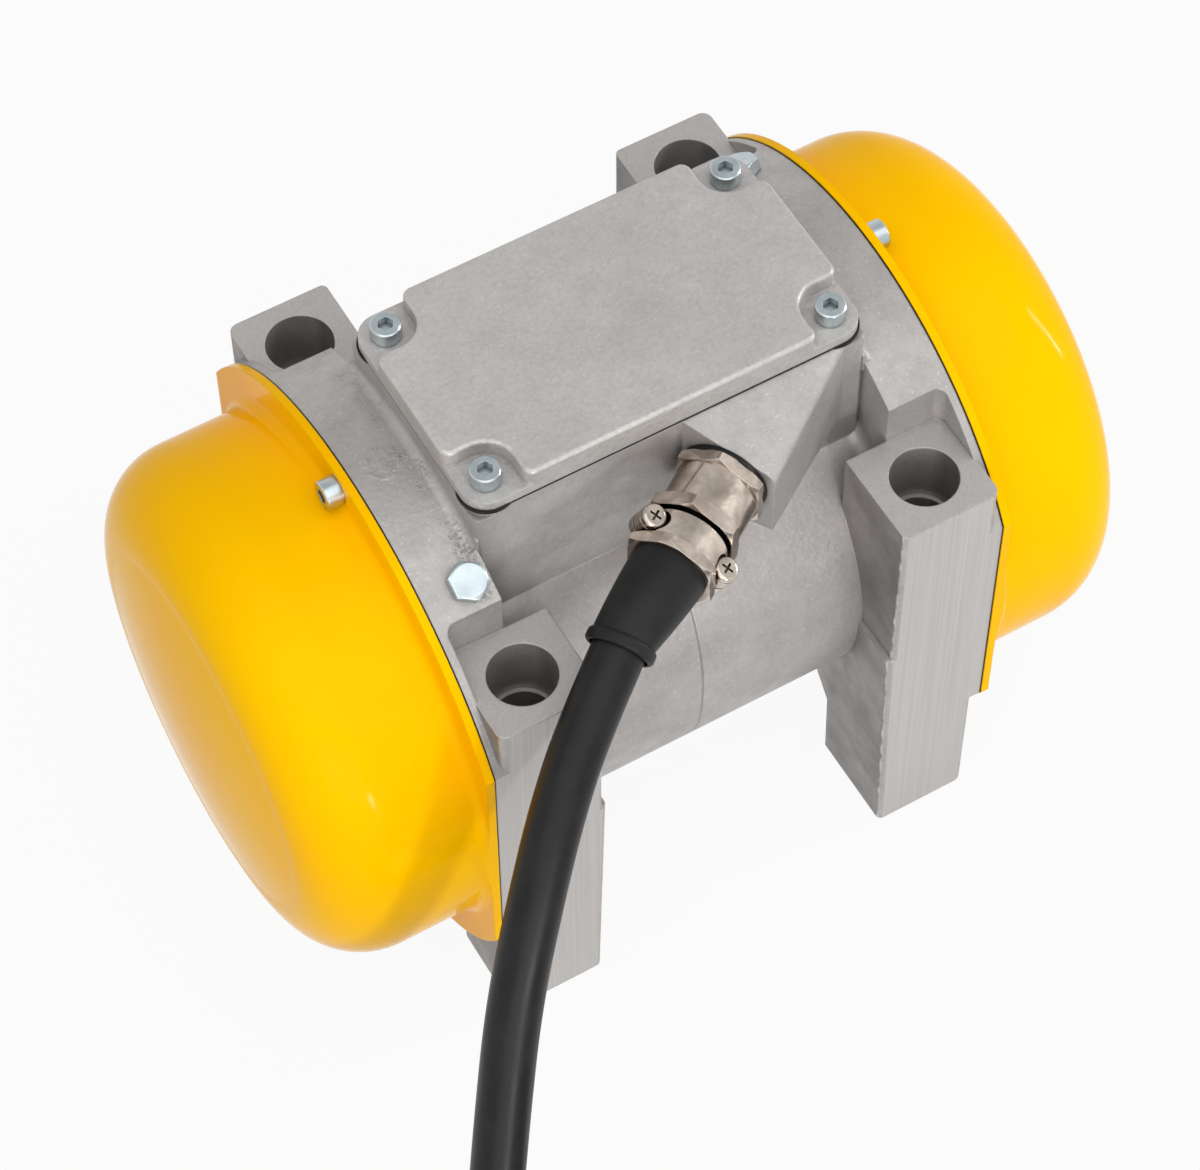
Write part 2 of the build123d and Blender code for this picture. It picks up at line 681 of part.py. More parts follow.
def saddle(upper):
    """Half collar over the seal, with an ear for a screw at each side."""
    width = CLAMP_STATION - SADDLE_STATION
    side_up = 1 if upper else -1
    centre, across, up = clamp_axes()
    collar = gland_ring(Circle(SADDLE_R), SADDLE_STATION, width)
    split = Plane(origin=centre + up * (side_up * SMALL_GAP), x_dir=across, z_dir=up)
    keep = extrude(split * Rectangle(4 * SADDLE_R, 4 * SADDLE_R), amount=side_up * 2 * SADDLE_R)
    half = collar & keep
    bottom = SMALL_GAP if upper else -SMALL_GAP - SADDLE_EAR_T
    height = SADDLE_TOP if upper else SADDLE_EAR_T
    for side in (-1, 1):
        half += extrude(clamp_plane(side, bottom) * Circle(SADDLE_EAR_R), amount=height)
    for side in (-1, 1):
        seat = clamp_plane(side, SMALL_GAP + SADDLE_TOP)
        half -= extrude(seat * Circle(SADDLE_SCREW_D + SMALL_GAP), amount=SADDLE_R)
        half -= extrude(seat * Circle(SADDLE_SCREW_D / 2 + THREAD_GAP), amount=-SADDLE_SCREW_L - 1)
    return half - gland_ring(Circle(SEAL_R + THREAD_GAP), SADDLE_STATION - 1, width + 2)


def gland_clamp():
    """Lower half collar with the outer hexagon ring."""
    ring = turned_hexagon(GLAND_AF, CLAMP_STATION, CLAMP_T)
    ring -= gland_ring(Circle(LEAD_R + THREAD_GAP), CLAMP_STATION, CLAMP_T)
    return ring + saddle(False)


def gland_clamp_screws():
    """Two cross-head screws that draw the collar halves together."""
    screws = []
    for side in (-1, 1):
        plane = clamp_plane(side, SMALL_GAP + SADDLE_TOP)
        head = extrude(plane * Circle(SADDLE_SCREW_D), amount=SADDLE_HEAD_H)
        rims = head.edges().filter_by(GeomType.CIRCLE).sort_by(Axis(plane.origin, plane.z_dir))
        head = fillet(rims[-1], 0.4 * SADDLE_HEAD_H)
        slot = 0.2 * SADDLE_SCREW_D
        cross = Rectangle(SADDLE_SCREW_D, slot) + Rectangle(slot, SADDLE_SCREW_D)
        head -= extrude(plane.offset(0.4 * SADDLE_HEAD_H) * cross, amount=SADDLE_HEAD_H)
        screws.append(head + extrude(plane * Circle(SADDLE_SCREW_D / 2), amount=-SADDLE_SCREW_L))
    return screws


def direction(angle, tilt):
    """Unit vector: angle from -X towards -Y, tilt below the horizontal."""
    a = math.radians(angle)
    t = math.radians(tilt)
    return Vector(-math.cos(a) * math.cos(t), -math.sin(a) * math.cos(t), -math.sin(t))


def cable_boot():
    """Tapered rubber boot that droops a little with the lead, with a rolled bead at its mouth."""
    end = Vector(*LEAD_ROUTE[0])
    end_dir = (Vector(*LEAD_ROUTE[1]) - end).normalized()
    neck = end - end_dir * (BOOT_BEAD_L - BOOT_MOUTH_L)
    mid_plane = Plane(origin=BOOT_MID, z_dir=direction(GLAND_ANGLE, BOOT_MID_TILT))
    sections = [
        station(CLAMP_STATION + CLAMP_T) * Circle(BOOT_LARGE_R),
        mid_plane * Circle((BOOT_LARGE_R + BOOT_SMALL_R) / 2),
        Plane(origin=neck, z_dir=end_dir) * Circle(BOOT_SMALL_R),
    ]
    cone = loft(sections)
    bead = extrude(Plane(origin=neck, z_dir=end_dir) * Circle(BOOT_BEAD_R), amount=BOOT_BEAD_L)
    rims = bead.edges().filter_by(GeomType.CIRCLE)
    bead = fillet(rims, BOOT_BEAD_L * 0.3)
    mouth = extrude(Plane(origin=end, z_dir=end_dir) * Circle(LEAD_R + BOOT_MOUTH_GAP), amount=BOOT_BEAD_L)
    return cone + bead - mouth


def lead_inner():
    """The lead's end inside the gland and the terminal box."""
    return extrude(station(-POCKET_W) * Circle(LEAD_R), amount=POCKET_W + CLAMP_STATION + CLAMP_T)


# Lead, coil and plug

def arc_radii(points):
    """Radius of the tangent arc at each corner of the lead's route."""
    radii = []
    for before, corner, after in zip(points, points[1:], points[2:]):
        first = Vector(*corner) - Vector(*before)
        second = Vector(*after) - Vector(*corner)
        turn = math.radians(first.get_angle(second))
        radii.append(0.45 * min(first.length, second.length) / math.tan(turn / 2))
    return radii


def lead():
    """Free lead from the boot's mouth down to the floor and up to the coil."""
    radii = arc_radii(LEAD_ROUTE)
    print("lead radii", [round(radius) for radius in radii])
    path = FilletPolyline(*LEAD_ROUTE, radius=radii)
    print("lead length", round(path.length, 1))
    section = Plane(origin=path @ 0, z_dir=path % 0) * Circle(LEAD_R)
    tube = sweep(section, path=path)
    print("volume share", round(tube.volume / (path.length * math.pi * LEAD_R ** 2), 4))
    return tube


def arc_block(inner, outer, z0, z1, start, sweep_angle):
    """Part of a flat ring about the coil's centre."""
    profile = Pos((inner + outer) / 2, (z0 + z1) / 2) * Rectangle(outer - inner, z1 - z0)
    ring = revolve(Plane.XZ * profile, axis=Axis.Z, revolution_arc=sweep_angle)
    return Pos(COIL_CENTRE[0], COIL_CENTRE[1], 0) * Rot(0, 0, start) * ring


def lead_coil():
    """Outer shape of the wound-up lead: two turns on the floor and a part turn on top."""
    inner = COIL_R_INNER - LEAD_R
    outer = COIL_R_OUTER + LEAD_R
    low = arc_block(inner, outer, 0, LEAD_D, 0, 360)
    top = COIL_TOP_Z + LEAD_R
    high = arc_block(
        COIL_R_MID - LEAD_R,
        COIL_R_MID + LEAD_R,
        LEAD_D,
        top,
        COIL_START,
        COIL_END - COIL_START,
    )
    return low + high - lead_tie()


def lead_tie():
    """Loop of the tie round the two lower turns, let in to the coil's outer shape."""
    inner = COIL_R_INNER - LEAD_R
    outer = COIL_R_OUTER + LEAD_R
    loop = block(inner - TIE_T, outer + TIE_T, -TIE_W / 2, TIE_W / 2, 0, LEAD_D + TIE_T)
    hole = block(inner, outer, -TIE_W, TIE_W, TIE_T, LEAD_D)
    place = Pos(COIL_CENTRE[0], COIL_CENTRE[1], 0) * Rot(0, 0, TIE_ANGLE)
    return place * (loop - hole)


def tail_start():
    return (COIL_CENTRE[0], COIL_CENTRE[1] - COIL_R_MID, COIL_TOP_Z)


def plug_start():
    x, y, z = tail_start()
    return (x + TAIL_L, y, PLUG_COLLAR_R)


def lead_tail():
    """Last stretch of the lead from the coil to the plug, cut square at both ends."""
    start = Vector(*tail_start())
    end = Vector(*plug_start())
    over = (end - start).normalized() * LEAD_R
    run = rod(LEAD_R, tuple(start - over), tuple(end + over))
    span = block(start.X, end.X, start.Y - LEAD_D, start.Y + LEAD_D, 0, PLUG_COLLAR_R + LEAD_D)
    return run & span


def plug_x(distance, radius, length):
    x, y, z = plug_start()
    return disc_x(radius, x + distance, x + distance + length, y, z)


def plug_nut():
    nut = plug_x(0, PLUG_NUT_R, PLUG_NUT_L)
    edge = nut.edges().filter_by(GeomType.CIRCLE).sort_by(Axis.X)[0]
    return chamfer(edge, 3.0)


def plug_body():
    """Grip of the plug with its wide collar, open at the front round the pins."""
    grip = plug_x(PLUG_NUT_L, PLUG_R, PLUG_GRIP_L)
    edge = grip.edges().filter_by(GeomType.CIRCLE).sort_by(Axis.X)[0]
    grip = chamfer(edge, 6.0)
    collar = plug_x(PLUG_NUT_L + PLUG_GRIP_L, PLUG_COLLAR_R, PLUG_COLLAR_L)
    well = plug_x(PLUG_NUT_L + PLUG_GRIP_L + 4, PLUG_COLLAR_R - 3, PLUG_COLLAR_L)
    return grip + collar - well


def plug_pins():
    """Three round pins and a thicker earth pin on a circle."""
    x, y, z = plug_start()
    base = x + PLUG_NUT_L + PLUG_GRIP_L + 4
    pins = []
    for index, angle in enumerate((270, 0, 90, 180)):
        radius = PLUG_EARTH_R if index == 0 else PLUG_PIN_R
        turn = math.radians(angle)
        py = y + PLUG_PIN_CIRCLE * math.cos(turn)
        pz = z + PLUG_PIN_CIRCLE * math.sin(turn)
        pins.append(rod(radius, (base, py, pz), (base + PLUG_COLLAR_L - 10, py, pz)))
    return pins


# End covers and bearing shields, made for the right end

def ring_outline(radius, flat):
    """Round outline cut flat at the front and rear, in the plane square to the shaft."""
    return Circle(radius) & Rectangle(2 * flat, 2 * radius)


def axis_plane(x):
    """Plane square to the shaft: its X is the row's Y, its Y the row's Z."""
    return Plane(origin=(x, 0, AXIS_Z), x_dir=(0, 1, 0), z_dir=(1, 0, 0))


def dome(radius, end_x, edge_r, crown, start_x):
    """Solid dome: a straight wall, a large rounded edge and a slightly crowned end."""
    half = radius - edge_r
    crown_r = (half ** 2 + crown ** 2) / (2 * crown)
    crown_turn = math.asin(half / crown_r) / 2
    edge_turn = math.radians(45)
    wall = Polyline((start_x, 0), (start_x, radius), (end_x - edge_r, radius))
    corner = ThreePointArc(
        (end_x - edge_r, radius),
        (end_x - edge_r + edge_r * math.cos(edge_turn), half + edge_r * math.sin(edge_turn)),
        (end_x, half),
    )
    top = ThreePointArc(
        (end_x, half),
        (end_x + crown - crown_r * (1 - math.cos(crown_turn)), crown_r * math.sin(crown_turn)),
        (end_x + crown, DOME_CENTRE_R),
    )
    close = Polyline((end_x + crown, DOME_CENTRE_R), (end_x + crown, 0), (start_x, 0))
    face = make_face([*wall.edges(), corner, top, *close.edges()])
    return Pos(0, 0, AXIS_Z) * revolve(face, axis=Axis.X)


def end_cover():
    """Domed cover with a flat flange and a hollow root between them."""
    outline = ring_outline(RING_R + COVER_FLANGE_OVER, RING_FLAT_Y + COVER_FLANGE_OVER)
    flange = extrude(axis_plane(FLANGE_X0) * outline, amount=COVER_FLANGE_T)
    outer = dome(DOME_R, DOME_END_X, DOME_EDGE_R, DOME_CROWN, FLANGE_X0)
    within = extrude(axis_plane(FLANGE_X0) * outline, amount=COVER_FLANGE_T + DOME_ROOT_R)
    shell = flange + outer + (within & hollow_round(FLANGE_X1, DOME_R, DOME_ROOT_R))
    inner = dome(DOME_R - DOME_T, DOME_END_X - DOME_T, DOME_EDGE_R - DOME_T, DOME_CROWN, FLANGE_X0 - 1)
    shell -= inner
    for angle in COVER_SCREW_ANGLES:
        seat = around_axis(angle, COVER_SCREW_R, FLANGE_X1)
        shell -= tapped_hole(M5, END_SCREW_L, seat, (1, 0, 0))
        spot = around_axis(angle, COVER_SCREW_R, FLANGE_X1 + DOME_ROOT_R)
        shell -= rod(HEAD_R + SMALL_GAP, seat, spot)
    return shell


def cover_gasket():
    """Thin seal between ring and cover flange."""
    sheet = extrude(
        axis_plane(RING_OUTER_X) * (ring_outline(RING_R, RING_FLAT_Y) - Circle(DOME_R - DOME_T)),
        amount=COVER_GASKET_T,
    )
    for angle in COVER_SCREW_ANGLES:
        sheet -= tapped_hole(M5, END_SCREW_L, around_axis(angle, COVER_SCREW_R, FLANGE_X1), (1, 0, 0))
    return sheet


def cover_screws():
    return [
        cap_screw(M5, END_SCREW_L, around_axis(angle, COVER_SCREW_R, FLANGE_X1), (1, 0, 0))
        for angle in COVER_SCREW_ANGLES
    ]


def bearing_shield():
    """Spigot in the bore with the bearing's seat, and a flange in the ring's recess."""
    shape = disc_x(BORE_R - RUNNING_GAP, BEARING_X0 - SHIELD_WEB, SHIELD_OUT_X)
    shape += disc_x(FACE_RECESS_R - RUNNING_GAP, SHIELD_FLANGE_X, SHIELD_OUT_X)
    shape -= disc_x(BEARING_R, BEARING_X0, SHIELD_FLANGE_X)
    shape -= disc_x(SHAFT_R + 6, BEARING_X0 - SHIELD_WEB - 1, SHIELD_OUT_X + 1)
    groove = tube_x(BORE_R - 6, BEARING_R + 6, BEARING_X0 - SHIELD_WEB - 1, SHIELD_FLANGE_X - 4)
    shape -= groove
    for angle in SHIELD_SCREW_ANGLES:
        seat = around_axis(angle, SHIELD_SCREW_R, SHIELD_OUT_X - SHIELD_SCREW_SINK)
        shape -= tapped_hole(M5, SHIELD_SCREW_L, seat, (1, 0, 0))
        shape -= rod(HEAD_R + SMALL_GAP, seat, around_axis(angle, SHIELD_SCREW_R, SHIELD_OUT_X + 1))
    return shape


def shield_screws():
    x = SHIELD_OUT_X - SHIELD_SCREW_SINK
    return [
        cap_screw(M5, SHIELD_SCREW_L, around_axis(angle, SHIELD_SCREW_R, x), (1, 0, 0))
        for angle in SHIELD_SCREW_ANGLES
    ]


# Bearings

def raceway(x):
    """Cutter for the ball groove."""
    profile = Pos(x, BALL_CIRCLE_R) * Circle(BALL_R + BALL_GAP)
    return Pos(0, 0, AXIS_Z) * revolve(Plane.XY * profile, axis=Axis.X)


def outer_race():
    ring = tube_x(BEARING_R, BEARING_R - RACE_T, BEARING_X0, SHIELD_FLANGE_X)
    return ring - raceway(BEARING_X0 + BEARING_W / 2)


def inner_race():
    ring = tube_x(SHAFT_R + RACE_T, SHAFT_R, BEARING_X0, SHIELD_FLANGE_X)
    return ring - raceway(BEARING_X0 + BEARING_W / 2)


def ball_places():
    x = BEARING_X0 + BEARING_W / 2
    return [around_axis(360 * index / BALL_COUNT, BALL_CIRCLE_R, x) for index in range(BALL_COUNT)]


def bearing_balls():
    return [Pos(*place) * Sphere(BALL_R) for place in ball_places()]


def bearing_cage():
    """Ring between the races with a pocket for each ball."""
    x = BEARING_X0 + BEARING_W / 2
    half = BALL_R * 1.25
    cage = tube_x(BALL_CIRCLE_R + 1.5, BALL_CIRCLE_R - 1.5, x - half, x + half)
    for index in range(BALL_COUNT):
        angle = 360 * index / BALL_COUNT
        cage -= rod(
            BALL_R + BALL_GAP,
            around_axis(angle, SHAFT_R, x),
            around_axis(angle, BEARING_R, x),
        )
    return cage


# Stator and rotor

def stator_core():
    """Laminated stack with slots round its bore."""
    stack = tube_x(BORE_R - RUNNING_GAP, STATOR_BORE_R, -STATOR_L / 2, STATOR_L / 2)
    slot_count = 24
    for index in range(slot_count):
        slot = block(-STATOR_L, STATOR_L, -1.8, 1.8, STATOR_BORE_R - 1, STATOR_BORE_R + 9)
        stack -= Pos(0, 0, AXIS_Z) * Rot(360 * index / slot_count, 0, 0) * slot
    return stack


def coil_end():
    """Winding overhang at the right end of the stack."""
    start = STATOR_L / 2
    ring = tube_x(BORE_R - 4, STATOR_BORE_R + 1, start, start + COIL_END_L)
    far = ring.edges().filter_by(GeomType.CIRCLE).group_by(Axis.X)[-1]
    return fillet(far, 4.0)


def rotor_core():
    return tube_x(STATOR_BORE_R - AIR_GAP, CORE_SHAFT_R, -STATOR_L / 2, STATOR_L / 2)


def rotor_ring():
    """Short-circuit ring of the cage rotor with its fan blades."""
    start = STATOR_L / 2
    ring = tube_x(STATOR_BORE_R - 2, CORE_SHAFT_R + 2, start, start + ROTOR_RING_L)
    blade_count = 8
    for index in range(blade_count):
        blade = block(
            start + ROTOR_RING_L - 1,
            start + ROTOR_RING_L + 6,
            -1.2,
            1.2,
            CORE_SHAFT_R + 3,
            STATOR_BORE_R - 3,
        )
        ring += Pos(0, 0, AXIS_Z) * Rot(360 * index / blade_count, 0, 0) * blade
    return ring


def key_place():
    """Start and end of the fixed weight's key along the shaft."""
    return FIXED_WEIGHT_X + 1, FIXED_WEIGHT_X + FIXED_WEIGHT_T - 1


def key_block(gap):
    """The key, or with a gap the cutter for its seats."""
    x0, x1 = key_place()
    half = KEY_W / 2 + gap
    low = AXIS_Z + WEIGHT_SHAFT_R - KEY_H / 2 - gap
    return block(x0 - gap, x1 + gap, -half, half, low, low + KEY_H + 2 * gap)


def shaft():
    """Stepped shaft with a keyway near each end."""
    body = disc_x(CORE_SHAFT_R, -BEARING_X0 + 1, BEARING_X0 - 1)
    body += disc_x(SHAFT_R, -FIXED_WEIGHT_X, FIXED_WEIGHT_X)
    body += disc_x(WEIGHT_SHAFT_R, -SHAFT_END_X, SHAFT_END_X)
    body -= key_block(0)
    body -= to_left(key_block(0))
    return body


def weight(start, thickness, bore_gap):
    """Eccentric weight: a hub on the shaft and a heavy sector below it."""
    hub = Circle(WEIGHT_HUB_R)
    turn = math.radians(WEIGHT_HALF_ANGLE)
    reach = 2 * WEIGHT_R
    wedge = make_face(
        Polyline(
            (0, 0),
            (reach * math.sin(turn), -reach * math.cos(turn)),
            (0, -2 * reach),
            (-reach * math.sin(turn), -reach * math.cos(turn)),
            close=True,
        )
    )
    sector = Circle(WEIGHT_R) & wedge
    outline = hub + sector - Circle(WEIGHT_SHAFT_R + bore_gap)
    body = extrude(axis_plane(start) * outline, amount=thickness)
    far = [e for e in body.edges().filter_by(GeomType.CIRCLE) if e.radius > WEIGHT_R - 1]
    return chamfer(far, 1.5)


def fixed_weight():
    return weight(FIXED_WEIGHT_X, FIXED_WEIGHT_T, 0) - key_block(0)


def adjustable_weight():
    """Clamped weight: its hub is split at the top, and a screw across the split grips the shaft."""
    body = weight(ADJUST_WEIGHT_X, ADJUST_WEIGHT_T, RUNNING_GAP)
    x0 = ADJUST_WEIGHT_X - 1
    x1 = ADJUST_WEIGHT_X + ADJUST_WEIGHT_T + 1
    split = block(x0, x1, -SPLIT_W / 2, SPLIT_W / 2, AXIS_Z + WEIGHT_SHAFT_R - 2, AXIS_Z + WEIGHT_HUB_R + 1)
    return body - split - clamp_screw_hole()


def clamp_screw_place():
    x = ADJUST_WEIGHT_X + ADJUST_WEIGHT_T / 2
    z = AXIS_Z + (WEIGHT_SHAFT_R + WEIGHT_HUB_R) / 2 + 0.3
    return (x, -9.0, z)


def clamp_screw_hole():
    x, y, z = clamp_screw_place()
    hole = rod(M5 / 2 + THREAD_GAP, (x, -30, z), (x, 30, z))
    head = rod(HEAD_R + SMALL_GAP, (x, -30, z), (x, y, z))
    return hole + head


def clamp_screw():
    return cap_screw(M5, CLAMP_SCREW_L, clamp_screw_place(), (0, -1, 0))


def shaft_nut():
    """Round nut with two flats on the shaft's end."""
    disc = tube_x(END_NUT_R, WEIGHT_SHAFT_R, END_NUT_X, END_NUT_X + END_NUT_T)
    slab = block(0, SHAFT_END_X, -END_NUT_R, END_NUT_R, AXIS_Z - END_NUT_R + 2, AXIS_Z + END_NUT_R - 2)
    return disc & slab


def group(shapes):
    """Separate solids kept together in one node."""
    return Compound(children=[solid for shape in shapes for solid in shape.solids()])


def both_in_one(shapes):
    """Like pieces of both ends, kept in one node."""
    return group(shapes + [to_left(shape) for shape in shapes])


def all_nodes():
    nodes = {
        "housing": housing(),
        "terminal_cover": terminal_cover(),
        "terminal_gasket": terminal_gasket(),
        "terminal_cover_screws": group(terminal_cover_screws()),
        "terminal_block": terminal_block(),
        "terminal_studs": group(terminal_studs()),
        "terminal_nuts": group(terminal_nuts()),
        "earth_screw": earth_screw(),
        "gland_o_ring": gland_o_ring(),
        "gland_body": gland_body(),
        "gland_nut": gland_nut(),
        "gland_seal": gland_seal(),
        "gland_clamp": gland_clamp(),
        "gland_saddle": saddle(True),
        "gland_clamp_screws": group(gland_clamp_screws()),
        "cable_boot": cable_boot(),
        "lead_inner": lead_inner(),
        "lead": lead(),
        "lead_coil": lead_coil(),
        "lead_tie": lead_tie(),
        "lead_tail": lead_tail(),
        "plug_nut": plug_nut(),
        "plug_body": plug_body(),
        "plug_pins": group(plug_pins()),
        "stator_core": stator_core(),
        "rotor_core": rotor_core(),
        "shaft": shaft(),
    }
    nodes.update(both_ends("end_cover", end_cover()))
    nodes.update(both_ends("cover_gasket", cover_gasket()))
    nodes.update(both_ends("bearing_shield", bearing_shield()))
    nodes.update(both_ends("outer_race", outer_race()))
    nodes.update(both_ends("inner_race", inner_race()))
    nodes.update(both_ends("bearing_balls", group(bearing_balls())))
    nodes.update(both_ends("bearing_cage", bearing_cage()))
    nodes.update(both_ends("coil_end", coil_end()))
    nodes.update(both_ends("rotor_ring", rotor_ring()))
    nodes.update(both_ends("fixed_weight", fixed_weight()))
    nodes.update(both_ends("adjustable_weight", adjustable_weight()))
    nodes.update(both_ends("weight_clamp_screw", clamp_screw()))
    nodes["end_cover_screws"] = both_in_one(cover_screws())
    nodes["shield_screws"] = both_in_one(shield_screws())
    nodes["weight_keys"] = both_in_one([key_block(0)])
    nodes["shaft_nuts"] = both_in_one([shaft_nut()])
    nodes["ring_bolts"] = group(ring_bolts())
    return nodes


os.makedirs("parts", exist_ok=True)
for node_name, shape in all_nodes().items():
    export_step(shape, os.path.join("parts", node_name + ".step"))
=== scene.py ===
import bpy
import json
import math
from mathutils import Matrix, Vector


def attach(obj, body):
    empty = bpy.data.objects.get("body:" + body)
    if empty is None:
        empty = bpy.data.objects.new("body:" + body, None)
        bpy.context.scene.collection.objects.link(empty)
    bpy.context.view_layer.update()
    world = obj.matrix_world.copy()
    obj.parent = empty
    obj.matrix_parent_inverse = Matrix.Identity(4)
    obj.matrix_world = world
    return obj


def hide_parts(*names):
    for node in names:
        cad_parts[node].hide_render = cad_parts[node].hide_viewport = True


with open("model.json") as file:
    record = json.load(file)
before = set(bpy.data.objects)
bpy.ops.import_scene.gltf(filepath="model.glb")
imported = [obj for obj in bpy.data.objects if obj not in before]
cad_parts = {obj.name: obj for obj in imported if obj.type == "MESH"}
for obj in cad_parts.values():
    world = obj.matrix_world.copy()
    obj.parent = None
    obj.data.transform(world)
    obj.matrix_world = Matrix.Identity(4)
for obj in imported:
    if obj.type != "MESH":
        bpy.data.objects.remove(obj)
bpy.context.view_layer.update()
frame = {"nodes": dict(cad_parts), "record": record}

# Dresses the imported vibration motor: its lead, its materials and its fine detail.
# All lengths are in metres, in the frame of the CAD model.
MM = 0.001
NODES = frame["nodes"]

# Camera, fitted to the photograph
CAMERA_AZIMUTH = -29.748
CAMERA_ELEVATION = 56.794
CAMERA_ROLL = -0.451
CAMERA_PLACE = (-0.32328, -0.56013, 1.05191)
CAMERA_LENS = 121.41
SENSOR_WIDTH = 36.0

# Colours of the cast aluminium, as light values
CAST_PALE = (0.52, 0.495, 0.48)
CAST_DARK = (0.36, 0.342, 0.33)
CAST_GREY = (0.25, 0.235, 0.225)
# Painted shade on the legs' sides
PAINTED_SIDE_SHADE = (0.17, 0.155, 0.148)
LID_PALE = (0.60, 0.58, 0.562)
LID_DARK = (0.48, 0.462, 0.448)
# Painted highlight: the colour of the painted glints and of the painted highlight along the legs' burrs
PAINTED_HIGHLIGHT = (0.80, 0.79, 0.78)
# Grime and dark seams, and also painted shade in corners and recesses
CAST_GRIME_AND_SHADE = (0.10, 0.085, 0.075)
MILLED_PALE = (0.52, 0.50, 0.485)
MILLED_DARK = (0.36, 0.345, 0.335)
YELLOW_DEEP = (1.0, 0.50, 0.0)
YELLOW_PALE = (1.0, 0.54, 0.0)
RUBBER_BLACK = (0.006, 0.006, 0.0065)
COPPER_DARK = (0.20, 0.06, 0.02)
COPPER_PALE = (0.55, 0.22, 0.08)
FLOOR_GREY = (0.55, 0.55, 0.55)

# Places on the housing that its material goes by, in millimetres
GATE_MARK = (-70.2, -1.7, 179.2)
GATE_R = 5.0
SPOT_RAGGED = 5.0           # the most that a ragged spot's edge goes inwards
SPOT_FADE = (3.2, 2.2)      # past the radius: where such a spot ends, and where it is full
FLASH_X = -63.4             # the strip of flash beside the terminal box
FLASH_FADE = (3.2, 1.6)     # off its middle: where the flash ends, and where it is full
FLASH_Z = 160.0
SEAM_Z = (130.0, 90.0)      # two heights on the barrel
SEAM_X = (-3.8, -5.6)       # where the seam is at those heights
SEAM_FADE = (0.5, 0.15)
SEAM_TOP_Z = 133.0
LEG_SIDE_Y = (40.0, 50.0)   # off the middle: from where a side face is a leg's
LEG_TOP_Z = 152.0
BURR_HIGHLIGHT_Y = (77.9, 78.6)       # off the middle: where the painted highlight on the burr begins and where it is full
BURR_HIGHLIGHT_RAGGED = 3.6
MILLED_Y = 76.0             # off the middle: just inside the milled faces
MILLED_TOP_Z = 153.0
CORNER_SHADE_REACH = 3.5          # how far from a corner the painted shade goes on the casting
SCREW_SHADE_REACH = 2.5    # and how far the painted shade goes on a plated piece

# Relief of the cast skin, as parts of its bump's height
BUMP_HEIGHT = 0.08
GRAIN_RELIEF = 0.35
MOTTLE_RELIEF = 0.9
HOUSING_LEATHER = 1.5
LID_LEATHER = 3.2
GATE_RELIEF = 6.0
PIT_DEPTH = 2.0
SEAM_DEPTH = 1.4
CUTTER_RELIEF = 0.16

SQUARE_ON = 0.97            # a face counts as facing along an axis from here
MILLED_ROUGH = 0.38

# Lead and its coil: the route is the one that the CAD model has
LEAD_D = 15.0
LEAD_ROUTE = [
    (-39.2, -74.3, 164.3),
    (-58.0, -87.5, 156.8),
    (-73.5, -99.8, 145.2),
    (-88.5, -113.2, 127.0),
    (-102.0, -125.5, 104.8),
    (-114.3, -140.0, 78.5),
    (-128.5, -158.0, 47.5),
    (-146.5, -183.0, 18.5),
    (-171.0, -215.7, 7.5),
]
COIL_CENTRE = (-99.0, -269.7)
COIL_R_OUTER = 90.0
COIL_R_INNER = 75.0
COIL_R_TOP = 82.5
COIL_TOP_Z = 22.5
COIL_START = 143.1
COIL_OUTER_END = 443.0
COIL_INNER_START = 503.0
COIL_INNER_END = 803.0
COIL_CLIMB_END = 863.0
COIL_END = 990.0
COIL_STEP = 20.0
TAIL_L = 73.0
TAIL_MIDDLE = 0.45          # share of the tail at which its middle point is
PLUG_Z = 26.5

# Studio, in metres and watts
FLOOR_HALF = 6.0
FLOOR_DROP = 0.2 * MM       # the floor is this much under the feet
FLOOR_GLOW = 0.93           # how much of its white the floor gives by itself
WORLD_LIGHT = 0.50          # the world's level as a lamp
CEILING = 0.60              # how bright metal sees the studio straight above
CEILING_RISE = (0.25, 0.85) # heights between which the mirrored studio goes from white to that
MOTOR_MIDDLE = (0.0, 0.0, 0.1)
LAMPS = [
    # name, place, what it points at, width and height, power
    ("key", (-0.35, -0.75, 1.9), MOTOR_MIDDLE, (3.2, 2.4), 27.0),
    ("front", (-0.8, -1.5, 0.55), MOTOR_MIDDLE, (1.2, 0.7), 6.0),
    ("window", (-0.14, -1.07, 0.17), (-0.11, -0.065, 0.13), (0.07, 0.12), 2.2),
    ("strip", (1.05, -0.245, 0.443), (0.116, -0.04, 0.155), (0.05, 0.5), 4.0),
]


def mm(*values):
    """A point given in millimetres, in metres."""
    return tuple(value * MM for value in values)


# Nodes of a material

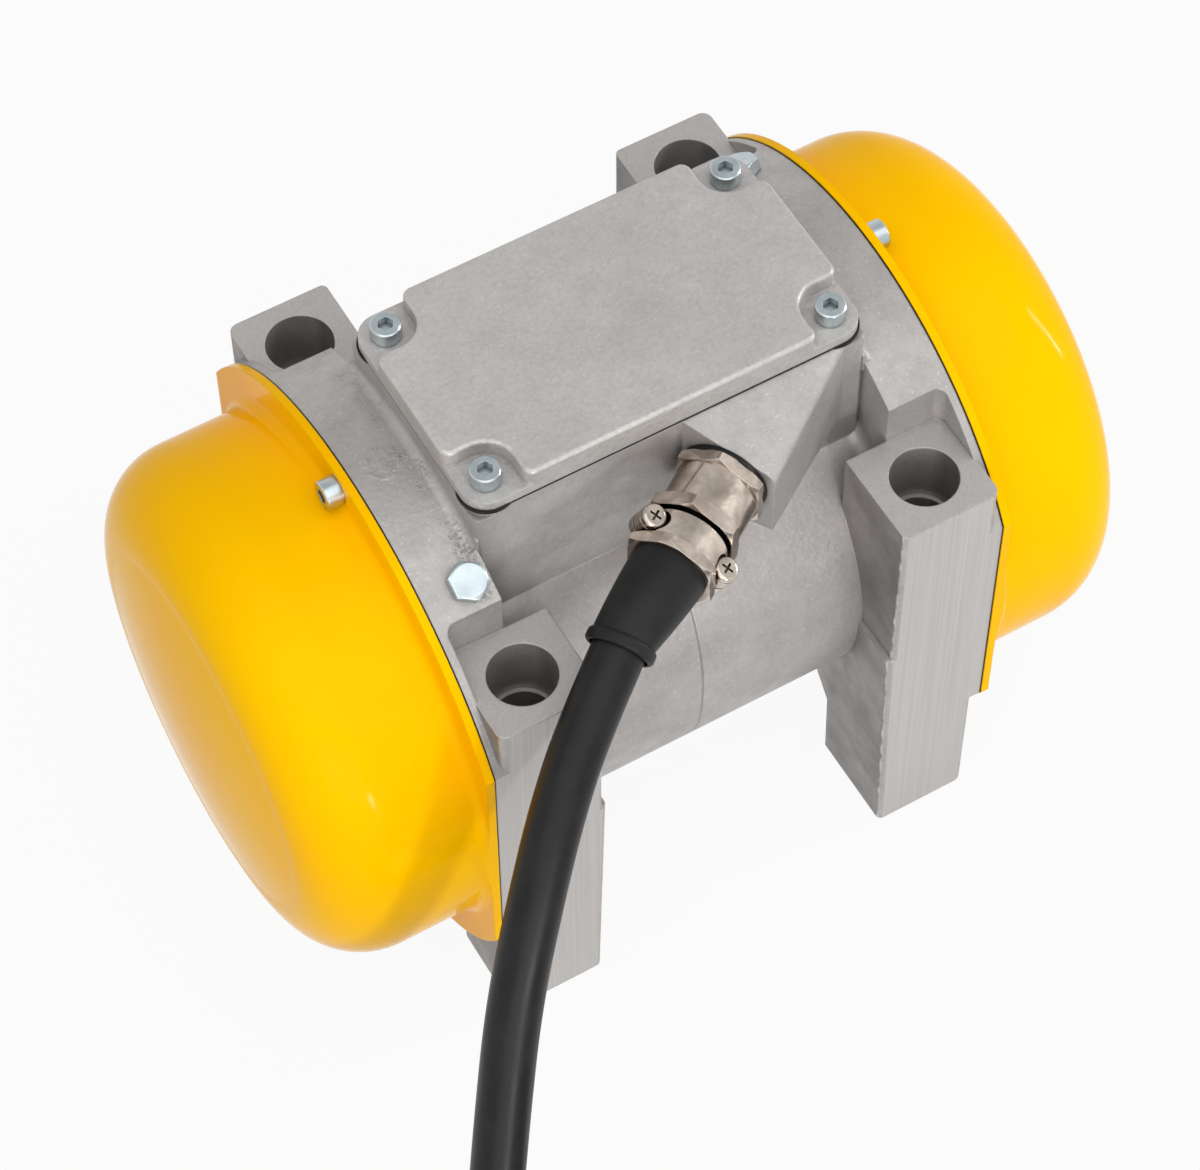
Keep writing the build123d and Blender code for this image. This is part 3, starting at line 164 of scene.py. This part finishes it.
class Shader:
    """A new material with short calls for the nodes that it needs."""

    def __init__(self, name):
        self.material = bpy.data.materials.new(name)
        self.material.use_nodes = True
        self.tree = self.material.node_tree
        self.surface = self.tree.nodes["Principled BSDF"]
        coordinates = self.node("ShaderNodeTexCoord").outputs
        self.place = coordinates["Object"]
        self.facing = coordinates["Normal"]

    def node(self, kind, **settings):
        made = self.tree.nodes.new(kind)
        for key, value in settings.items():
            setattr(made, key, value)
        return made

    def join(self, source, target):
        self.tree.links.new(source, target)

    def put(self, target, value):
        """Sets a socket to a number or colour, or joins it to another node's output."""
        if isinstance(value, bpy.types.NodeSocket):
            self.join(value, target)
        elif isinstance(value, (tuple, list)) and len(value) == 3 and target.type == "RGBA":
            target.default_value = (*value, 1.0)
        else:
            target.default_value = value

    def stretched(self, scale):
        """Object coordinates scaled along each axis."""
        mapping = self.node("ShaderNodeMapping")
        self.join(self.place, mapping.inputs["Vector"])
        mapping.inputs["Scale"].default_value = scale
        return mapping.outputs["Vector"]

    def noise(self, scale, detail=2.0, rough=0.5, place=None):
        made = self.node("ShaderNodeTexNoise")
        self.join(place or self.place, made.inputs["Vector"])
        made.inputs["Scale"].default_value = scale
        made.inputs["Detail"].default_value = detail
        made.inputs["Roughness"].default_value = rough
        return made.outputs["Fac"]

    def maths(self, operation, first, second=0.0):
        made = self.node("ShaderNodeMath", operation=operation)
        self.put(made.inputs[0], first)
        self.put(made.inputs[1], second)
        return made.outputs[0]

    def product(self, first, *others):
        """All the values multiplied."""
        for value in others:
            first = self.maths("MULTIPLY", first, value)
        return first

    def away(self, value, middle=0.0):
        """How far a value is from another."""
        return self.maths("ABSOLUTE", self.maths("SUBTRACT", value, middle))

    def spread(self, value, low, high, new_low=0.0, new_high=1.0):
        """Maps low..high of a value to new_low..new_high, and keeps it between them."""
        made = self.node("ShaderNodeMapRange", clamp=True)
        self.put(made.inputs["Value"], value)
        made.inputs["From Min"].default_value = low
        made.inputs["From Max"].default_value = high
        made.inputs["To Min"].default_value = new_low
        made.inputs["To Max"].default_value = new_high
        return made.outputs["Result"]

    def mix(self, share, first, second):
        """Colour between two colours."""
        made = self.node("ShaderNodeMix", data_type="RGBA")
        self.put(made.inputs[0], share)
        self.put(made.inputs[6], first)
        self.put(made.inputs[7], second)
        return made.outputs[2]

    def blend(self, share, first, second):
        """Number between two numbers."""
        made = self.node("ShaderNodeMix", data_type="FLOAT")
        self.put(made.inputs[0], share)
        self.put(made.inputs[2], first)
        self.put(made.inputs[3], second)
        return made.outputs[0]

    def axes(self, vector):
        made = self.node("ShaderNodeSeparateXYZ")
        self.join(vector, made.inputs[0])
        return made.outputs

    def rounded(self, radius):
        """Normal that rounds off sharp edges."""
        made = self.node("ShaderNodeBevel", samples=4)
        made.inputs["Radius"].default_value = radius
        return made.outputs["Normal"]

    def bump(self, height, depth, normal=None):
        made = self.node("ShaderNodeBump")
        made.inputs["Distance"].default_value = depth
        self.join(height, made.inputs["Height"])
        if normal is not None:
            self.join(normal, made.inputs["Normal"])
        return made.outputs["Normal"]

    def crevices(self, distance):
        """1 in the open, less in corners."""
        made = self.node("ShaderNodeAmbientOcclusion", samples=8)
        made.inputs["Distance"].default_value = distance
        return made.outputs["AO"]

    def set(self, **values):
        for key, value in values.items():
            self.put(self.surface.inputs[key.replace("_", " ")], value)


# Materials

def cast_skin(shader, dark, pale, leather_relief):
    """Colour, roughness and relief of die-cast aluminium."""
    patches = shader.noise(34.0, detail=5.0, rough=0.62)
    mottle = shader.noise(170.0, detail=4.0, rough=0.6)
    leather = shader.noise(620.0, detail=3.0, rough=0.55)
    grain = shader.noise(1500.0, detail=3.0, rough=0.6)
    painted_glints = shader.noise(1300.0, detail=1.0)
    colour = shader.mix(shader.spread(patches, 0.25, 0.75), dark, pale)
    colour = shader.mix(shader.spread(mottle, 0.35, 0.75, 0.0, 0.22), colour, CAST_GREY)
    colour = shader.mix(shader.spread(leather, 0.46, 0.64, 0.0, 0.15), colour, CAST_GREY)
    # Painted glints: small near-white spots of sparkle in the base colour
    colour = shader.mix(shader.spread(painted_glints, 0.66, 0.73, 0.0, 0.30), colour, PAINTED_HIGHLIGHT)
    rough = shader.spread(mottle, 0.3, 0.7, 0.38, 0.50)
    height = shader.maths("ADD", shader.product(grain, GRAIN_RELIEF), shader.product(mottle, MOTTLE_RELIEF))
    return colour, rough, shader.maths("ADD", height, shader.product(leather, leather_relief))


def spot(shader, centre, radius):
    """1 within a ragged round spot on the housing, 0 outside it."""
    away = shader.node("ShaderNodeVectorMath", operation="DISTANCE")
    shader.join(shader.place, away.inputs[0])
    away.inputs[1].default_value = mm(*centre)
    wobble = shader.noise(240.0, detail=3.0, rough=0.6)
    ragged = shader.maths("ADD", away.outputs["Value"], shader.product(wobble, SPOT_RAGGED * MM))
    end, full = mm(radius + SPOT_FADE[0], radius + SPOT_FADE[1])
    return shader.spread(ragged, end, full)


def gate_mark(shader, colour, height):
    """Rippled round mark of the gate, on top of the left ring."""
    gate = spot(shader, GATE_MARK, GATE_R)
    ripple = shader.noise(430.0, detail=3.0, rough=0.6)
    height = shader.blend(gate, height, shader.product(ripple, GATE_RELIEF))
    dirt = shader.product(gate, shader.spread(ripple, 0.50, 0.38, 0.0, 0.22))
    return shader.mix(dirt, colour, CAST_GRIME_AND_SHADE), height


def pitted_flash(shader, where, colour, height):
    """Worn and pitted strip of flash beside the terminal box."""
    band = shader.spread(shader.away(where["X"], FLASH_X * MM), *mm(*FLASH_FADE))
    high = shader.maths("GREATER_THAN", where["Z"], FLASH_Z * MM)
    worn = shader.spread(shader.noise(85.0), 0.50, 0.60)
    pits = shader.spread(shader.noise(1150.0, rough=0.6), 0.50, 0.60)
    pits = shader.product(band, high, worn, pits)
    height = shader.maths("SUBTRACT", height, shader.product(pits, PIT_DEPTH))
    return shader.mix(shader.product(pits, 0.28), colour, CAST_GRIME_AND_SHADE), height


def barrel_seam(shader, where, colour, height):
    """Thin seam of the die down the barrel's front."""
    middle = shader.spread(where["Z"], *mm(*SEAM_Z), *mm(*SEAM_X))
    line = shader.spread(shader.away(where["X"], middle), *mm(*SEAM_FADE))
    front = shader.maths("LESS_THAN", where["Y"], 0.0)
    low = shader.maths("LESS_THAN", where["Z"], SEAM_TOP_Z * MM)
    seam = shader.product(line, front, low)
    height = shader.maths("SUBTRACT", height, shader.product(seam, SEAM_DEPTH))
    return shader.mix(shader.product(seam, 0.45), colour, CAST_GRIME_AND_SHADE), height


def leg_sides(shader, where, colour):
    """The legs' sides have painted shade, and a painted highlight on the burr along their milled faces."""
    sideways = shader.away(shader.axes(shader.facing)["X"])
    off_middle = shader.away(where["Y"])
    across = shader.spread(sideways, 0.75, 0.95)
    out = shader.spread(off_middle, *mm(*LEG_SIDE_Y))
    low = shader.maths("LESS_THAN", where["Z"], LEG_TOP_Z * MM)
    # Painted shade: the sides facing along X, low on the legs, are darkened, patchy in strength
    shade_strength = shader.spread(shader.noise(60.0, detail=4.0, rough=0.6), 0.3, 0.7, 0.45, 0.95)
    colour = shader.mix(shader.product(across, out, low, shade_strength), colour, PAINTED_SIDE_SHADE)
    # Painted highlight: a bright ragged line on these sides along the legs' outer edges, where the burr is
    ragged = shader.product(shader.noise(130.0, detail=3.0, rough=0.6), BURR_HIGHLIGHT_RAGGED * MM)
    burr_highlight = shader.spread(shader.maths("ADD", off_middle, ragged), *mm(*BURR_HIGHLIGHT_Y), 0.0, 0.8)
    return shader.mix(shader.product(across, low, burr_highlight), colour, PAINTED_HIGHLIGHT)


def milled_faces(shader, where, colour, rough, height):
    """Fine upright cutter marks on the legs' outer faces and their tops."""
    facing = shader.axes(shader.facing)
    front = shader.maths("GREATER_THAN", shader.away(facing["Y"]), SQUARE_ON)
    out = shader.maths("GREATER_THAN", shader.away(where["Y"]), MILLED_Y * MM)
    top = shader.maths("GREATER_THAN", facing["Z"], SQUARE_ON)
    low = shader.maths("LESS_THAN", where["Z"], MILLED_TOP_Z * MM)
    face = shader.maths("MAXIMUM", shader.product(front, out), shader.product(top, low))
    cutter = shader.noise(1.0, place=shader.stretched((1500.0, 1500.0, 9.0)))
    streaks = shader.noise(1.0, detail=4.0, rough=0.6, place=shader.stretched((210.0, 210.0, 12.0)))
    smooth = shader.mix(shader.spread(cutter, 0.3, 0.7, 0.0, 0.45), MILLED_PALE, MILLED_DARK)
    smooth = shader.mix(shader.spread(streaks, 0.55, 0.8, 0.0, 0.30), smooth, MILLED_DARK)
    colour = shader.mix(face, colour, smooth)
    rough = shader.blend(face, rough, MILLED_ROUGH)
    return colour, rough, shader.blend(face, height, shader.product(cutter, CUTTER_RELIEF))


def cast_aluminium(name, is_housing):
    """Die-cast aluminium with painted shade in its corners; the housing has cast marks, painted shade and a
    painted highlight on its legs' sides, and milled faces.
    """
    shader = Shader(name)
    if is_housing:
        where = shader.axes(shader.place)
        colour, rough, height = cast_skin(shader, CAST_DARK, CAST_PALE, HOUSING_LEATHER)
        colour = leg_sides(shader, where, colour)
        colour, height = gate_mark(shader, colour, height)
        colour, height = pitted_flash(shader, where, colour, height)
        colour, height = barrel_seam(shader, where, colour, height)
        colour, rough, height = milled_faces(shader, where, colour, rough, height)
    else:
        colour, rough, height = cast_skin(shader, LID_DARK, LID_PALE, LID_LEATHER)
    # Painted shade: ambient occlusion darkens corners and crevices towards the grime colour
    corner_shade = shader.spread(shader.crevices(CORNER_SHADE_REACH * MM), 0.25, 0.75, 0.42, 0.0)
    shader.set(
        Base_Color=shader.mix(corner_shade, colour, CAST_GRIME_AND_SHADE),
        Metallic=0.50,
        Roughness=rough,
        Normal=shader.bump(height, BUMP_HEIGHT * MM, shader.rounded(0.7 * MM)),
    )
    return shader.material


def yellow_paint():
    """Gloss powder coat with a faint orange peel."""
    shader = Shader("yellow_paint")
    peel = shader.noise(240.0, rough=0.4)
    cloud = shader.noise(16.0)
    shader.set(
        Base_Color=shader.mix(shader.spread(cloud, 0.3, 0.7), YELLOW_DEEP, YELLOW_PALE),
        Roughness=0.10,
        Specular_IOR_Level=0.02,
        Normal=shader.bump(peel, 0.012 * MM, shader.rounded(0.5 * MM)),
    )
    return shader.material


def plated(name, pale, dark, rough):
    """Plated steel or brass: smooth and bright, with clouds, hairline scratches and painted shade in its
    recesses.
    """
    shader = Shader(name)
    cloud = shader.noise(190.0)
    scratch = shader.noise(1.0, place=shader.stretched((500.0, 1900.0, 500.0)))
    # Painted shade: ambient occlusion darkens recesses such as the screws' sockets
    corner_shade = shader.spread(shader.crevices(SCREW_SHADE_REACH * MM), 0.30, 0.75, 0.9, 0.0)
    colour = shader.mix(shader.spread(cloud, 0.3, 0.72), dark, pale)
    shader.set(
        Base_Color=shader.mix(corner_shade, colour, CAST_GRIME_AND_SHADE),
        Metallic=1.0,
        Roughness=shader.spread(scratch, 0.3, 0.7, rough - 0.03, rough + 0.05),
        Normal=shader.bump(scratch, 0.004 * MM, shader.rounded(0.25 * MM)),
    )
    return shader.material


def rubber(name, colour, rough, grain_scale):
    """Black rubber with a fine skin and a little dust."""
    shader = Shader(name)
    grain = shader.noise(grain_scale, detail=3.0, rough=0.6)
    dust = shader.noise(70.0, detail=4.0, rough=0.65)
    pale = tuple(channel + 0.008 for channel in colour)
    shader.set(
        Base_Color=shader.mix(shader.spread(dust, 0.4, 0.8), colour, pale),
        Roughness=shader.spread(dust, 0.3, 0.7, rough - 0.05, rough + 0.07),
        Specular_IOR_Level=0.24,
        Normal=shader.bump(grain, 0.03 * MM, shader.rounded(0.3 * MM)),
    )
    return shader.material


def plain_metal(name, colour, rough, metallic=1.0):
    """Machined metal with fine turning marks."""
    shader = Shader(name)
    cloud = shader.noise(90.0, detail=3.0, rough=0.6)
    turned = shader.noise(1.0, place=shader.stretched((2400.0, 300.0, 300.0)))
    darker = tuple(channel * 0.82 for channel in colour)
    shader.set(
        Base_Color=shader.mix(shader.spread(cloud, 0.3, 0.7), darker, colour),
        Metallic=metallic,
        Roughness=shader.spread(turned, 0.3, 0.7, rough - 0.05, rough + 0.08),
        Normal=shader.bump(turned, 0.02 * MM, shader.rounded(0.2 * MM)),
    )
    return shader.material


def plastic(name, colour, rough):
    """Moulded plastic with a fine eroded skin."""
    shader = Shader(name)
    grain = shader.noise(1400.0)
    cloud = shader.noise(60.0)
    pale = tuple(channel * 1.15 + 0.004 for channel in colour)
    shader.set(
        Base_Color=shader.mix(shader.spread(cloud, 0.3, 0.7), colour, pale),
        Roughness=shader.spread(grain, 0.3, 0.7, rough - 0.04, rough + 0.06),
        Normal=shader.bump(grain, 0.03 * MM, shader.rounded(0.4 * MM)),
    )
    return shader.material


def winding():
    """Varnished copper wires wound round the axis."""
    shader = Shader("winding")
    wires = shader.noise(1.0, place=shader.stretched((1500.0, 200.0, 200.0)))
    shader.set(
        Base_Color=shader.mix(shader.spread(wires, 0.3, 0.7), COPPER_DARK, COPPER_PALE),
        Metallic=0.5,
        Roughness=0.35,
        Coat_Weight=0.4,
        Normal=shader.bump(wires, 0.3 * MM),
    )
    return shader.material


MATERIALS = {
    "cast_aluminium": cast_aluminium("cast_aluminium", True),
    "lid_aluminium": cast_aluminium("lid_aluminium", False),
    "cover_yellow": yellow_paint(),
    "zinc_steel": plated("zinc_steel", pale=(0.58, 0.65, 0.67), dark=(0.44, 0.50, 0.53), rough=0.30),
    "nickel_brass": plated("nickel_brass", pale=(0.74, 0.65, 0.57), dark=(0.42, 0.355, 0.305), rough=0.17),
    "black_rubber": rubber("black_rubber", RUBBER_BLACK, rough=0.46, grain_scale=900.0),
    "lead_rubber": rubber("lead_rubber", RUBBER_BLACK, rough=0.40, grain_scale=600.0),
    "plug_plastic": plastic("plug_plastic", (0.03, 0.03, 0.032), rough=0.38),
    "tie_plastic": plastic("tie_plastic", (0.03, 0.03, 0.03), rough=0.45),
    "block_plastic": plastic("block_plastic", (0.30, 0.13, 0.05), rough=0.45),
    "plug_brass": plain_metal("plug_brass", (0.72, 0.52, 0.22), rough=0.25),
    "terminal_brass": plain_metal("terminal_brass", (0.72, 0.55, 0.26), rough=0.30),
    "cast_iron": plain_metal("cast_iron", (0.20, 0.20, 0.21), rough=0.55, metallic=0.7),
    "steel": plain_metal("steel", (0.52, 0.53, 0.55), rough=0.30),
    "lamination": plain_metal("lamination", (0.30, 0.31, 0.33), rough=0.45),
    "winding": winding(),
}
SPECIAL = {"terminal_cover": "lid_aluminium"}


def dress_nodes():
    """Gives each CAD node the material of its slot."""
    for part in frame["record"]["subparts"]:
        node = NODES[part["node"]]
        name = SPECIAL.get(part["node"], part["material_slot"])
        node.data.materials.clear()
        node.data.materials.append(MATERIALS[name])


# Lead

def coil_point(angle, radius, height):
    turn = math.radians(angle)
    x = COIL_CENTRE[0] + radius * math.cos(turn)
    y = COIL_CENTRE[1] + radius * math.sin(turn)
    return (x, y, height)


def eased(angle, start, end):
    """0 before start, 1 after end, and a smooth step between."""
    share = min(max((angle - start) / (end - start), 0.0), 1.0)
    return share * share * (3 - 2 * share)


def coil_points():
    """Two turns side by side on the floor, then a part turn lying in the groove between them."""
    floor = LEAD_D / 2
    # The line runs inside its points, so they lie a little further out
    stretch = 1 / math.cos(math.radians(COIL_STEP / 2)) ** 0.5
    points = []
    angle = COIL_START + COIL_STEP
    while angle < COIL_END - COIL_STEP / 2:
        inward = eased(angle, COIL_OUTER_END, COIL_INNER_START)
        climb = eased(angle, COIL_INNER_END, COIL_CLIMB_END)
        radius = COIL_R_OUTER + (COIL_R_INNER - COIL_R_OUTER) * inward + (COIL_R_TOP - COIL_R_INNER) * climb
        points.append(coil_point(angle, radius * stretch, floor + (COIL_TOP_Z - floor) * climb))
        angle += COIL_STEP
    return points


def lead_points():
    """The whole lead: down to the floor, round the coil and along to the plug."""
    end_x, end_y, end_z = coil_point(COIL_END, COIL_R_TOP, COIL_TOP_Z)
    tail = [
        (end_x, end_y, end_z),
        (end_x + TAIL_L * TAIL_MIDDLE, end_y, end_z + (PLUG_Z - end_z) * TAIL_MIDDLE),
        (end_x + TAIL_L, end_y, PLUG_Z),
    ]
    return LEAD_ROUTE + coil_points() + tail


def lead():
    curve = bpy.data.curves.new("lead_cable", "CURVE")
    curve.dimensions = "3D"
    curve.resolution_u = 8
    curve.bevel_depth = LEAD_D / 2 * MM
    curve.bevel_resolution = 8
    curve.use_fill_caps = True
    points = lead_points()
    spline = curve.splines.new("NURBS")
    spline.points.add(len(points) - 1)
    for point, place in zip(spline.points, points):
        point.co = (*mm(*place), 1.0)
    spline.order_u = 3
    spline.use_endpoint_u = True
    cable = bpy.data.objects.new("lead_cable", curve)
    bpy.context.scene.collection.objects.link(cable)
    curve.materials.append(MATERIALS["lead_rubber"])
    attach(cable, "housing")
    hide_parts("lead", "lead_coil", "lead_tail")
    return cable


def cord_length(cable):
    """Length of the cable's own line."""
    line = cable.data.copy()
    line.bevel_depth = 0
    probe = bpy.data.objects.new("probe", line)
    mesh = bpy.data.meshes.new_from_object(probe)
    places = [vertex.co.copy() for vertex in mesh.vertices]
    bpy.data.objects.remove(probe)
    bpy.data.curves.remove(line)
    bpy.data.meshes.remove(mesh)
    return sum((after - before).length for before, after in zip(places, places[1:]))


# Stage, light and camera

def stage():
    floor_mesh = bpy.data.meshes.new("floor")
    corners = ((-1, -1), (1, -1), (1, 1), (-1, 1))
    floor_mesh.from_pydata(
        [(x * FLOOR_HALF, y * FLOOR_HALF, 0) for x, y in corners],
        [],
        [(0, 1, 2, 3)],
    )
    floor = bpy.data.objects.new("floor", floor_mesh)
    bpy.context.scene.collection.objects.link(floor)
    floor.location.z = -FLOOR_DROP
    shader = Shader("floor_white")
    shader.set(Base_Color=FLOOR_GREY, Roughness=0.9, Specular_IOR_Level=0.2)
    glow = shader.node("ShaderNodeEmission")
    glow.inputs["Color"].default_value = (1.0, 1.0, 1.0, 1.0)
    rays = shader.node("ShaderNodeLightPath").outputs
    seen = shader.maths("MAXIMUM", rays["Is Camera Ray"], rays["Is Glossy Ray"])
    seen = shader.maths("MAXIMUM", seen, rays["Is Transmission Ray"])
    share = shader.maths("MULTIPLY", seen, FLOOR_GLOW)
    both = shader.node("ShaderNodeMixShader")
    shader.join(share, both.inputs[0])
    shader.join(shader.surface.outputs[0], both.inputs[1])
    shader.join(glow.outputs[0], both.inputs[2])
    output = shader.tree.nodes["Material Output"]
    shader.join(both.outputs[0], output.inputs["Surface"])
    floor_mesh.materials.append(shader.material)


def area_light(name, place, target, size, power):
    data = bpy.data.lights.new(name, "AREA")
    data.shape = "RECTANGLE"
    data.size, data.size_y = size
    data.energy = power
    lamp = bpy.data.objects.new(name, data)
    bpy.context.scene.collection.objects.link(lamp)
    lamp.location = place
    aim = Vector(target) - Vector(place)
    lamp.rotation_euler = aim.to_track_quat("-Z", "Y").to_euler()
    return lamp


def world_range(tree, value, old, new):
    """Maps a value of the world's nodes from one range to another."""
    made = tree.nodes.new("ShaderNodeMapRange")
    tree.links.new(value, made.inputs["Value"])
    made.inputs["From Min"].default_value, made.inputs["From Max"].default_value = old
    made.inputs["To Min"].default_value, made.inputs["To Max"].default_value = new
    return made.outputs["Result"]


def world_mix(tree, share, first, second):
    """Number between two of the world's numbers, each a value or an output."""
    made = tree.nodes.new("ShaderNodeMix")
    tree.links.new(share, made.inputs[0])
    for socket, value in ((made.inputs[2], first), (made.inputs[3], second)):
        if isinstance(value, bpy.types.NodeSocket):
            tree.links.new(value, socket)
        else:
            socket.default_value = value
    return made.outputs[0]


def light():
    world = bpy.data.worlds.new("studio")
    bpy.context.scene.world = world
    world.use_nodes = True
    tree = world.node_tree
    background = tree.nodes["Background"]
    background.inputs["Color"].default_value = (1.0, 1.0, 1.0, 1.0)
    rays = tree.nodes.new("ShaderNodeLightPath").outputs
    up = tree.nodes.new("ShaderNodeSeparateXYZ")
    tree.links.new(tree.nodes.new("ShaderNodeTexCoord").outputs["Generated"], up.inputs[0])
    mirrored = world_range(tree, up.outputs["Z"], CEILING_RISE, (1.0, CEILING))
    either = tree.nodes.new("ShaderNodeMath")
    either.operation = "MAXIMUM"
    tree.links.new(rays["Is Glossy Ray"], either.inputs[0])
    tree.links.new(rays["Is Transmission Ray"], either.inputs[1])
    level = world_mix(tree, either.outputs[0], WORLD_LIGHT, mirrored)
    level = world_mix(tree, rays["Is Camera Ray"], level, 1.0)
    tree.links.new(level, background.inputs["Strength"])
    for lamp in LAMPS:
        area_light(*lamp)


def camera():
    azimuth = math.radians(CAMERA_AZIMUTH)
    elevation = math.radians(CAMERA_ELEVATION)
    roll = math.radians(CAMERA_ROLL)
    back = Vector((
        math.sin(azimuth) * math.cos(elevation),
        -math.cos(azimuth) * math.cos(elevation),
        math.sin(elevation),
    ))
    level_right = Vector((math.cos(azimuth), math.sin(azimuth), 0.0))
    level_up = back.cross(level_right)
    right = level_right * math.cos(roll) + level_up * math.sin(roll)
    up = level_up * math.cos(roll) - level_right * math.sin(roll)
    turn = Matrix((right, up, back)).transposed().to_4x4()
    data = bpy.data.cameras.new("camera")
    data.lens = CAMERA_LENS
    data.sensor_width = SENSOR_WIDTH
    eye = bpy.data.objects.new("camera", data)
    bpy.context.scene.collection.objects.link(eye)
    eye.matrix_world = Matrix.Translation(CAMERA_PLACE) @ turn
    bpy.context.scene.camera = eye


dress_nodes()
cable = lead()
length = cord_length(cable)
stage()
light()
camera()
bpy.context.scene.view_settings.view_transform = "Standard"
